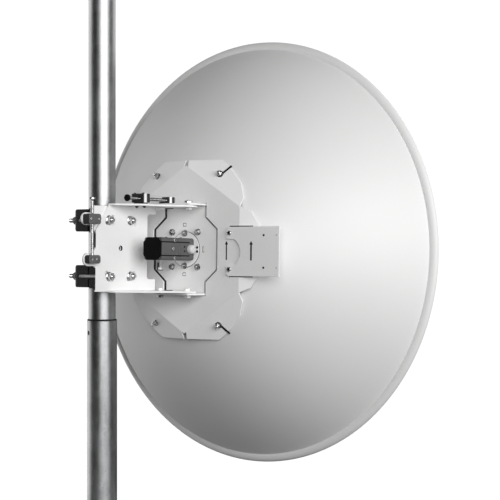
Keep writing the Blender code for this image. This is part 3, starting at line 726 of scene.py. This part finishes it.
def make_azimuth_pivots():
    for side, name in ((1, "top"), (-1, "bottom")):
        inner = hexagon("inner", 12, 0, 4.2, 0.7)
        stand(inner, (PIVOT_X, PIVOT_Y, side * FLANGE_INSIDE), (0, 0, -side), 10)
        shank = turned("shank", [(77.5, 4), (87.5, 4)], 20)
        stand(shank, (PIVOT_X, PIVOT_Y, 0), (0, 0, side))
        washer = turned("washer", [(0, 7.2), (0.8, 7.2)], 28)
        stand(washer, (PIVOT_X, PIVOT_Y, side * YOKE_OUTSIDE), (0, 0, side))
        outer = hexagon("outer", 13, 0.8, 4.2, 0.8)
        dome = turned("dome", [(4.0, 5.2), (5.0, 4.6), (5.5, 3.2)], 24)
        outer = join("outer", outer, dome)
        stand(outer, (PIVOT_X, PIVOT_Y, side * YOKE_OUTSIDE), (0, 0, side), 20)
        paint(inner, nut_bright)
        paint(shank, screw_zinc)
        paint(washer, nut_bright)
        paint(outer, nut_dull if side > 0 else nut_bright)
        piece = join("azimuth_pivot_" + name, inner, shank, washer, outer)
        settle(piece, HEAD, "elevation_arm", None, "zinc", "azimuth_pivot_bolt_" + name)


def make_lock_bolts():
    for side, name in ((1, "top"), (-1, "bottom")):
        inner = hexagon("inner", 9.6, 0, 4.2, 0.6)
        stand(inner, (LOCK_X, PIVOT_Y, side * FLANGE_INSIDE), (0, 0, -side), 14)
        shank = turned("shank", [(77.5, 3), (88, 3)], 20)
        stand(shank, (LOCK_X, PIVOT_Y, 0), (0, 0, side))
        outer = hexagon("outer", 8.4, 0, 3.4, 0.6) if side > 0 else hexagon("outer", 10, 0, 5, 0.9)
        stand(outer, (LOCK_X, PIVOT_Y, side * YOKE_OUTSIDE), (0, 0, side), 5)
        paint(inner, nut_bright)
        paint(shank, screw_zinc)
        paint(outer, screw_black if side > 0 else nut_dull)
        piece = join("azimuth_lock_" + name, inner, shank, outer)
        settle(piece, HEAD, "dish_head", None, "zinc", "azimuth_lock_bolt_" + name)


def make_azimuth_adjuster():
    """The block on the arm, the fine screw with its knob, and the block that it pulls."""
    body = block("body", (64, 9, 85), (95, 26, 101.5), 1.3, 3)
    foot = block("foot", (68, 11, 82.3), (91, 24, 87), 0.6, 2)
    split = block("split", (60, 16.2, 97.5), (99, 17.6, 103))
    bore = stand(turned("bore", [(0, 4), (30, 4)], 24), (ROD_X, 3, ROD_Z), (0, 1, 0))
    body = cut(body, split, bore)
    bolts = socket_screw("bolts", 2.2, 1.6, 1.2, screw_black)
    bolts = repeated("bolts", bolts, [(69, 12.6, 101.4), (90, 12.6, 101.4)])
    piece = join("azimuth_block", paint(body, dark_block_and_shade), paint(foot, dark_block_and_shade), bolts)
    settle(piece, HEAD, "elevation_arm", None, "block_grey", "azimuth_screw_block")
    plate = block("side_plate", (94.8, 8.6, 84.6), (96.2, 15.4, 101.2), 0.4, 2)
    settle(plate, HEAD, "elevation_arm", plate_white, "white_paint")
    nuts = plain_nut("nuts", 5, 3, 2.6, 1.0, 1.5, 0.6)
    places = [(x, 17.5, FLANGE_INSIDE + 0.2) for x in (70, 88.5)]
    nuts = repeated("azimuth_block_nuts", nuts, places, (0, 0, -1), (10, 35))
    settle(nuts, HEAD, "elevation_arm", screw_black, "clamp_black")

    knob = turned("knob", [(-6.5, 4.8), (-6, 5.7), (-5, 6.4), (-2.4, 6.4), (-1, 5.4), (0, 4.2)], 32)
    knob = cut(knob, turned("key", [(-8, 1.8), (-5, 1.8)], 6))
    screw = thread("screw", -1, 118, 3, 1.0, 0.25)
    rod = join("azimuth_screw", paint(knob, cap_black), paint(screw, rod_steel))
    stand(rod, (ROD_X, -20, ROD_Z), (0, 1, 0))
    settle(rod, HEAD, "azimuth_screw", None, "zinc", "azimuth_screw_rod")

    swivel = block("swivel", (71, 87, 86.6), (92, 101, 98.5), 1.1, 3)
    bore = stand(turned("bore", [(0, 3.3), (14, 3.3)], 24), (ROD_X, 84, ROD_Z), (0, 1, 0))
    swivel = cut(swivel, bore)
    pin = turned("pin", [(82.8, 2.5), (97.5, 2.5), (97.5, 4.2), (98.9, 4.2), (99.3, 3.8)], 24)
    stand(pin, (ROD_X, PIVOT_Y, 0))
    piece = join("swivel_block", paint(swivel, dark_block_and_shade), paint(pin, stainless))
    settle(piece, HEAD, "azimuth_screw", None, "block_grey", "azimuth_swivel_block")
    sleeve = turned("swivel_pin", [(86.8, 2.4), (87.2, 2.8), (98.2, 2.8), (98.6, 2.4)], 24)
    stand(sleeve, (92.6, 87.6, 0))
    settle(sleeve, HEAD, "azimuth_screw", nut_bright, "zinc")


def floor_panel():
    """A solid in the hub window's outline: a tall block with its middle drawn out sideways."""
    narrow, wide, top, neck, shoulder = 46.4, 73.4, 81.9, 60.5, 38
    low, high = (HUB_X - narrow, FLOOR_FRONT, -top), (HUB_X + narrow, FLOOR_BACK + 0.3, top)
    piece = block("panel", low, high)
    edit(piece)
    for z in (neck, -neck):
        bpy.ops.mesh.select_all(action="SELECT")
        bpy.ops.mesh.bisect(plane_co=(0, 0, z), plane_no=(0, 0, 1))
    for side in (1, -1):
        pick(lambda at, normal: normal.x * side > 0.9 and abs(at.z) < neck - 1)
        pull(side * (wide - narrow), 0, 0)
        bpy.ops.transform.resize(value=(1, 1, shoulder / neck), center_override=(HUB_X, 0, 0))
    leave()
    for vertex in piece.data.vertices:
        vertex.co.x -= 1.2
    return piece


def make_yoke():
    """The folded yoke, whose floor is pressed forward into the hub's window; round it the floor behind
    is painted dark as shade in the gap.
    """
    yoke = copy_of("yoke", "yoke_sheet")
    yoke.data.transform(HEAD.inverted())
    edit(yoke)
    pick(lambda at, run: abs(run.x) > 40 and abs(abs(at.z) - 86.3) < 0.6 and at.y > 130, "EDGE")
    bpy.ops.mesh.bevel(offset=2.4, segments=3, affect="EDGES")
    leave()
    soften(yoke, 0.6)
    paint(yoke, yoke_white)
    # The floor's face round the pressed panel is painted dark: painted shade in the gap.
    paint(yoke, gap_shadow, lambda at, normal: normal.y < -0.95 and abs(at.y - FLOOR_BACK) < 0.2)

    slots, tabs = [], []
    for x, half_x, z, half_z in FLOOR_SLOTS:
        low = (HUB_X + x - half_x, FLOOR_FRONT - 1, z - half_z)
        high = (HUB_X + x + half_x, FLOOR_FRONT + 0.8, z + half_z)
        slots.append(block("slot", low, high, 0.6, 2))
        low = (HUB_X + x - half_x + 0.9, FLOOR_FRONT + 0.1, z - half_z + 0.9)
        high = (HUB_X + x + half_x - 0.9, FLOOR_FRONT + 0.9, z + half_z - 0.9)
        tabs.append(block("tab", low, high, 0.2, 1))
    for z in (79.8, -79.8):
        low, high = (HUB_X - 50, FLOOR_FRONT - 2, z - 2.2), (HUB_X - 32, FLOOR_BACK + 2, z + 2.2)
        slots.append(block("corner", low, high))
    panel = paint(soften(cut(floor_panel(), *slots), 0.4), yoke_white)

    def in_slot(at, normal):
        return 0.1 < at.y - FLOOR_FRONT < 0.9 and abs(at.z) < 55 and -9 < at.x - HUB_X < 45

    # The walls inside the floor's slots are painted dark: painted shade.
    paint(panel, gap_shadow, in_slot)
    settle(join("yoke", yoke, panel), HEAD, "dish_head", None, "white_paint", "yoke")
    settle(join("floor_tabs", *tabs), HEAD, "dish_head", plate_white, "white_paint")

    bolt = plain_nut("bolt", 10, 6.2, 5.4, 1.6, 3, 1.0)
    places = [(HUB_X + x, FLOOR_FRONT - 0.05, z) for x in (-32.8, 29.6) for z in (-33, 33)]
    places += [(HUB_X - 1, DISC_FRONT - 0.05, z) for z in (-31, 31)]
    bolts = repeated("floor_bolts", bolt, places, (0, -1, 0), (0, 17, 40, 8, 25, 50))
    settle(bolts, HEAD, "dish_head", nut_dull, "zinc")

    tab = block("earth_tab", (HUB_X - 66, 116, -40), (HUB_X - 64.6, FLOOR_FRONT + 0.2, -25), 0.4, 2)
    foot = block("earth_foot", (HUB_X - 66, 116, -40), (HUB_X - 56, FLOOR_FRONT + 0.2, -38.6), 0.4, 2)
    tab = paint(join("earth_tab", tab, foot), block_grey)
    stud = thread("stud", -38.7, 15.5, 2.4, 1.0, 0.3)
    nut = hexagon("nut", 7, -38.6, -35, 0.6)
    washer = turned("washer", [(-35, 4.6), (-34.3, 4.6)], 24)
    stud = paint(join("earth_stud", stud, nut, washer), nut_bright)
    stand(stud, (HUB_X - 59.5, 118.5, 0), (0, 0, 1), 12)
    settle(join("earth_stud", tab, stud), HEAD, "dish_head", None, "zinc")


def make_hub_plate():
    hub = soften(copy_of("hub_plate", "hub_sheet"), 0.0007, 2, 14)
    settle(hub, Matrix.Identity(4), "dish_head", plate_white, "white_paint", "hub_plate")

    slope, side_slope = 0.475, 0.32
    side_x, side_z, top_z = 129.8, 79.8, 159.6
    ear_x = 107.8
    along = Vector((side_x, 0, side_z - top_z)).normalized()
    shade_strips = []
    for side_sign, name, flange_finish in ((1, "right", screw_black), (-1, "left", nut_dull)):
        parts = []
        for level in (1, -1):
            outward = Vector((-along.z * side_sign, 0, along.x * level))
            normal = (Vector((0, -1, 0)) + outward * slope).normalized()
            start = Vector((0, 0, top_z * level))
            at = Vector((77.2 * side_sign - 2.2, 0, 141.4 * level))
            beyond = (at - start).dot(outward)
            place = Vector((HUB_X + at.x, HUB_BACK + beyond * slope, at.z)) + normal * 0.1
            bolt = flange_nut("bolt", 9, 6.5, 7.2, 3.4, 3, 1.0, flange_finish)
            parts.append(stand(bolt, place, normal, 15 + 20 * level))
            # Behind the slot of each right flap bolt lies a dark strip: painted shade.
            if side_sign > 0:
                run = Vector((1, 0, level)).normalized()
                run.y = run.dot(outward) * slope
                shade_strip = turned("shade_strip", [(3, 1.9), (25, 1.9)], 16)
                shade_strips.append(stand(shade_strip, place + Vector((2.2, 0, 0)) - normal * 1.3, run))
        piece = join("flap_bolts_" + name, *parts)
        settle(piece, HEAD, "dish_head", None, "zinc")
    # Dark strips along the radio plate's top and bottom edges: painted shade in the gaps there.
    for z in (43.0, -50.2):
        for x, length, way in ((ear_x, side_x - ear_x, (1, 0, 0)), (side_x, 27, (1, side_slope, 0))):
            shade_strip = turned("shade_strip", [(0, 1.1), (length, 1.1)], 16)
            shade_strips.append(stand(shade_strip, (HUB_X + x, HUB_BACK + 0.5, z), way))
    settle(join("gap_shade_strips", *shade_strips), HEAD, "dish_head", joint_shadow, "clamp_black")


def make_arrow(name, x, y, low, high, wide):
    """A plain printed arrow that points up."""
    shaft = block("shaft", (x - wide / 2, y - 0.12, low), (x + wide / 2, y + 0.1, high - 5))
    tip = turned("tip", [(0, 4.4), (0.22, 4.4)], 3)
    stand(tip, (x, y + 0.1, high - 4.4), (0, -1, 0))
    settle(join(name, shaft, tip), HEAD, "dish_head", arrow_ink, "clamp_black")


def make_radio_plate():
    plate = copy_of("radio_plate", "radio_sheet")
    plate.data.transform(HEAD.inverted())
    edit(plate)
    pick(lambda at, normal: normal.z > 0.9 and at.z > 38)
    bpy.ops.transform.translate(value=(0, 0, 2.4))
    leave()
    holes = [block("lips", (HUB_X + 170, 121, -60), (HUB_X + 230, 135, 60))]
    for x in (188.2, 217):
        for z in RADIO_HOLES_Z:
            hole = turned("hole", [(0, 2.0), (8, 2.0)], 20)
            holes.append(stand(hole, (HUB_X + x, 113, z), (0, 1, 0)))
    plate = cut(plate, *holes)
    soften(plate, 0.5)
    settle(plate, HEAD, "dish_head", plate_white, "white_paint", "radio_plate")
    # The inner holes are filled with dark discs, painted shade; the outer ones with white discs that
    # stand for the lit dish seen through them.
    for name, x, face, finish, slot in (("inner", 188.2, 117.6, joint_shadow, "clamp_black"),
                                        ("outer", 217, 118.2, cap_white, "white_plastic")):
        hole_fill = turned("hole_fill", [(0, 1.95), (2.2, 1.95), (2.6, 1.5)], 16)
        places = [(HUB_X + x, face, z) for z in RADIO_HOLES_Z]
        hole_fills = repeated("radio_plate_hole_fills_" + name, hole_fill, places, (0, -1, 0))
        settle(hole_fills, HEAD, "dish_head", finish, slot)

    size, spots = (4.4, 3.2, 2.7), [(HUB_X + 110.2, 115.75, z) for z in (30.4, -37)]
    set_screws("ear_screws", HEAD, "dish_head", "clamp_black", size, screw_zinc, spots, (0, -1, 0))
    make_arrow("arrow_hub", HUB_X + 100.3, HUB_BACK, -19.6, 15.8, 2.6)
    make_arrow("arrow_plate", HUB_X + 160, HUB_BACK - 3.3, -20.3, 15.5, 3.6)


def settle_on_axis(piece, finish, slot, *nodes, angle=32):
    """Lay a part that was made on z along the feed's axis, and settle it on the head."""
    stand(piece, (HUB_X, 0, 0), (0, 1, 0))
    settle(piece, HEAD, "dish_head", finish, slot, *nodes, angle=angle)


def make_reflector():
    """The spun dish: flat seat, paraboloid, flat rim and a lip rolled forward."""
    seat, bowl_edge, rim, shell = 153.5, 406, 421.5, 2.5
    back_y, focal = 131.3, 170.7

    def bowl(radius):
        return back_y + (radius ** 2 - seat ** 2) / (4 * focal)

    steps = 22
    radii = [seat + (bowl_edge - seat) * step / steps for step in range(steps + 1)]
    edge = bowl(bowl_edge)
    back = [(back_y, 30), (back_y, 90), (back_y, seat - 2.5), (back_y + 0.25, seat - 1)]
    back += [(bowl(radius), radius) for radius in radii[1:-1]]
    back += [(edge - 0.9, bowl_edge - 0.6), (edge - 0.4, bowl_edge), (edge - 0.35, bowl_edge + 0.7),
             (edge - 0.55, bowl_edge + 2.6), (edge - 0.35, rim - 10.5), (edge + 0.15, rim - 8),
             (edge + 0.95, rim - 5.6), (edge + 2.1, rim - 3.4), (edge + 3.6, rim - 1.6),
             (edge + 5.2, rim - 0.5), (edge + 6.6, rim), (edge + 7.2, rim - 0.1),
             (edge + 7.5, rim - 0.5)]
    front = [(edge + 7.5, rim - shell + 0.2), (edge + 7.1, rim - shell), (edge + 5.4, rim - 4.2),
             (edge + 3.8, rim - 6.8), (edge + 2.6, rim - 9.6), (edge + 2.2, bowl_edge + 2.6),
             (edge + 2.5, bowl_edge - 0.4)]
    front += [(bowl(radius) + 3.0, radius) for radius in reversed(radii[1:-1])]
    front += [(back_y + 2.7, seat - 2.5), (back_y + 2.5, 90), (back_y + 2.5, 30)]
    dish = turned_ring("dish", back + front, 192)
    settle_on_axis(dish, dish_white, "white_paint", "reflector", angle=40)


def make_feed():
    """The feed's round flange behind the dish; its tube, cone and small reflector in front."""
    radius = 33.2
    flange = turned("flange", [(DISC_FRONT, radius - 0.4), (DISC_FRONT + 0.4, radius),
                               (FLOOR_FRONT + 0.2, radius)], 96)
    # A dark ring round the disc's foot: painted shade where it meets the floor.
    rim = turned("rim", [(FLOOR_FRONT - 0.5, radius + 1), (FLOOR_FRONT + 0.3, radius + 1)], 96)
    flange = join("feed_disc", paint(flange, disc_white), paint(rim, joint_shadow))
    settle_on_axis(flange, None, "cast_grey", "feed_flange")
    size, spots = (2.3, 1.4, 1.2), [(HUB_X + 29.4, DISC_FRONT, z) for z in (3.8, -3.8)]
    set_screws("disc_screws", HEAD, "dish_head", "clamp_black", size, screw_black, spots, (0, -1, 0))

    tube = turned_ring("feed_pipe", [
        (127.5, 17), (127.5, 19), (131.6, 19), (250, 19), (251, 20.2), (254, 20.2),
        (255, 19), (261.4, 19), (262, 18.4), (262, 17)], 64)
    settle_on_axis(tube, cast_grey, "cast_grey", "feed_tube")
    collar = turned_ring("feed_collar", [
        (134.4, 19.3), (134.4, 28), (137.6, 28), (138.4, 27.2), (138.4, 21), (139.4, 20), (146, 20),
        (146.6, 19.3)], 64)
    settle_on_axis(collar, cast_grey, "cast_grey")
    size, turns = (2.4, 2.2, 1.3), [math.radians(45 + 90 * step) for step in range(4)]
    spots = [(HUB_X + 24 * math.cos(turn), 138.2, 24 * math.sin(turn)) for turn in turns]
    set_screws("collar_screws", HEAD, "dish_head", "zinc", size, stainless, spots, (0, 1, 0))

    cone = turned("feed_lens", [
        (262.3, 17.5), (262.6, 19), (264, 20.4), (266, 22.5), (268.5, 25.4), (271, 28.6), (273.4, 31.6),
        (274.6, 33), (276.3, 33)], 64)
    settle_on_axis(cone, cap_white, "white_plastic", "feed_cone")
    disc = turned("sub_reflector", [(276.6, 34.4), (277.2, 35), (279.6, 35), (280.4, 34.4), (281.8, 28),
                                    (282.8, 20.5), (283.3, 14)], 64)
    settle_on_axis(disc, cast_grey, "cast_grey", "feed_sub_reflector")


def make_waveguide_unit():
    """The cast waveguide unit: a square body with grooves and joints, end cap and side cap."""
    x0, x1 = HUB_X - UNIT_HALF, HUB_X + UNIT_HALF
    start, end = 27.4, DISC_FRONT - 0.3
    groove_end, groove_half = 108, 1

    def corner(at, run):
        return abs(run.y) > 40 or (abs(run.x) > 40 and at.y > 110)

    def in_groove(at, normal):
        if abs(abs(at.z) - GROOVE_Z) >= groove_half + 0.02:
            return False
        depth = UNIT_HALF - abs(at.x - HUB_X)
        if depth < 0.6:
            return depth > 0.02 and at.y < groove_end
        return start + 1 < at.y < groove_end + 0.5

    body = block("body", (x0, start, -UNIT_HALF), (x1, end, UNIT_HALF), 3.8, 3, corner)
    tools = []
    for side in (1, -1):
        for face in (x0, x1):
            low = (face - 1.6, 20, side * GROOVE_Z - groove_half)
            high = (face + 1.6, groove_end, side * GROOVE_Z + groove_half)
            tools.append(block("groove", low, high))
    for y in (76, 81.6):
        for face in (x0, x1):
            tools.append(block("joint", (face - 0.7, y - 0.5, -24), (face + 0.7, y + 0.5, 24)))
        for face in (-UNIT_HALF, UNIT_HALF):
            tools.append(block("joint", (x0 - 3, y - 0.5, face - 0.7), (x1 + 3, y + 0.5, face + 0.7)))
    body = soften(cut(body, *tools), 0.35, 2, 35)
    boss = stand(turned("boss", [(0, 5.4), (0.6, 5.4), (0.9, 5.0)], 32), (x1 - 0.1, 61, 0), (1, 0, 0))
    paint(body, cast_grey)
    # The grooves are painted dark inside: painted shade.
    paint(body, joint_shadow, in_groove)
    body = join("waveguide_body", body, paint(boss, cast_grey))
    settle(body, HEAD, "waveguide_unit", None, "cast_grey", "omt_body")

    body, way = "waveguide_unit", (1, 0, 0)
    spots = [(x1, 60, 0.3), (x1 - 0.4, 65, 16.2), (x1 - 0.4, 65, -16.6)]
    set_screws("face_screws", HEAD, body, "zinc", (2.9, 1.4, 1.9), stainless, spots, way)
    spots = [(x1 - 0.1, 93, z) for z in (4.4, -4)]
    set_screws("port_screws", HEAD, body, "clamp_black", (2.0, 1.0, 1.1), screw_black, spots, way)
    spots = [(HUB_X + x, y, UNIT_HALF - 0.2) for x in (-12, 12) for y in (50, 92)]
    set_screws("top_screws", HEAD, body, "clamp_black", (2.2, 1.2, 1.3), screw_black, spots)

    cap = block("end_cap", (HUB_X - 13, 23.2, -UNIT_HALF), (HUB_X + 13, start + 0.2, UNIT_HALF))
    edit(cap)
    for side in (1, -1):
        pick(lambda at, normal: normal.x * side > 0.9)
        for outward, narrower in ((1.2, 0.84), (6.3, 0.72)):
            pull(side * outward, 0, 0)
            bpy.ops.transform.resize(value=(1, 1, narrower), center_override=(HUB_X, 0, 0))
    pick(lambda at, run: abs(run.y) > 3, "EDGE")
    bpy.ops.mesh.bevel(offset=1.0, segments=3, affect="EDGES", clamp_overlap=True)
    leave()
    soften(cap, 0.5, 2, 40)
    settle(cap, HEAD, "waveguide_unit", cap_black, "black_plastic", "omt_cap")

    side_cap = turned("side_cap", [
        (0, 8.4), (0.4, 8.7), (5.6, 8.5), (7.6, 7.6), (8.6, 6.2), (9.0, 4.4)], 40)
    stand(side_cap, (x1 + 0.2, 109.2, 0), (1, 0, 0))
    settle(side_cap, HEAD, "waveguide_unit", cap_white, "white_plastic", "omt_side_cap")


def make_lamp():
    """A big soft lamp to the right of the camera, a little above it."""
    heading, rise, distance = math.radians(CAMERA_SIDE + 22), math.radians(12), 2.8
    middle = Vector((0.08, 0.15, AXIS_HEIGHT))
    lamp = bpy.data.lights.new("key", "AREA")
    lamp.shape = "RECTANGLE"
    lamp.size, lamp.size_y = 3.2, 1.7
    lamp.energy = 96
    piece = bpy.data.objects.new("key", lamp)
    bpy.context.scene.collection.objects.link(piece)
    flat = distance * math.cos(rise)
    way = Vector((flat * math.cos(heading), flat * math.sin(heading), distance * math.sin(rise)))
    piece.location = middle + way
    piece.rotation_euler = (-way).to_track_quat("-Z", "Y").to_euler()


def make_room():
    """A studio that the camera sees white, lit softly from three sides, with a white floor."""
    world = bpy.data.worlds.new("studio")
    bpy.context.scene.world = world
    world.use_nodes = True
    tree = world.node_tree
    tree.nodes.clear()
    link = tree.links.new

    def add(kind, **settings):
        made = tree.nodes.new(kind)
        for name, setting in settings.items():
            setattr(made, name, setting)
        return made

    def lobe(direction, start, end, low, high):
        """Brightness that rises as the view turns towards a direction."""
        dot = add("ShaderNodeVectorMath", operation="DOT_PRODUCT")
        link(coordinates.outputs["Generated"], dot.inputs[0])
        dot.inputs[1].default_value = Vector(direction).normalized()
        ranged = add("ShaderNodeMapRange", interpolation_type="SMOOTHSTEP")
        link(dot.outputs["Value"], ranged.inputs["Value"])
        for name, number in (("From Min", start), ("From Max", end), ("To Min", low), ("To Max", high)):
            ranged.inputs[name].default_value = number
        return ranged.outputs[0]

    def total(first, second):
        made = add("ShaderNodeMath", operation="ADD")
        link(first, made.inputs[0])
        link(second, made.inputs[1])
        return made.outputs[0]

    coordinates = add("ShaderNodeTexCoord")
    left = lobe((-1.0, -0.03, 0.05), 0.75, 0.93, 0.0, 1.65)
    above = lobe((0.2, 0, 1), 0.0, 1.0, 0.0, 0.03)
    front = lobe((0.1, 0.85, 0.55), 0.76, 1.0, 0.0, 2.4)
    light = total(total(left, above), front)
    room = add("ShaderNodeBackground")
    link(light, room.inputs["Strength"])
    seen = add("ShaderNodeBackground")
    seen.inputs["Strength"].default_value = 1.05
    path = add("ShaderNodeLightPath")
    mix = add("ShaderNodeMixShader")
    link(path.outputs["Is Camera Ray"], mix.inputs[0])
    link(room.outputs[0], mix.inputs[1])
    link(seen.outputs[0], mix.inputs[2])
    for background in (room, seen):
        background.inputs["Color"].default_value = (1, 1, 1, 1)
    output = add("ShaderNodeOutputWorld")
    link(mix.outputs[0], output.inputs[0])

    bpy.ops.mesh.primitive_circle_add(vertices=96, radius=0.60, fill_type="NGON",
                                      location=(0.03, 0.06, -0.0005))
    floor = named("floor")
    finish = Finish("floor_white")
    grain = finish.noise(40, 3.0)
    floor.data.materials.append(finish.give(base_color=finish.grey(0.62 + 0.03 * grain), roughness=0.9))
    floor.visible_diffuse = False


def make_camera():
    lens = bpy.data.cameras.new("camera")
    lens.lens = 108
    camera = bpy.data.objects.new("camera", lens)
    camera.location = (1.9137, -2.0787, 0.5968)
    camera.rotation_euler = (math.radians(90), 0, math.radians(CAMERA_TURN))
    bpy.context.scene.collection.objects.link(camera)
    bpy.context.scene.camera = camera
    bpy.context.scene.view_settings.view_transform = "Standard"


make_camera()
make_room()
make_lamp()
make_mast()
make_clamps()
make_pole_plate()
make_elevation_adjuster()
make_arm()
make_azimuth_pivots()
make_lock_bolts()
make_azimuth_adjuster()
make_yoke()
make_hub_plate()
make_radio_plate()
make_reflector()
make_feed()
make_waveguide_unit()
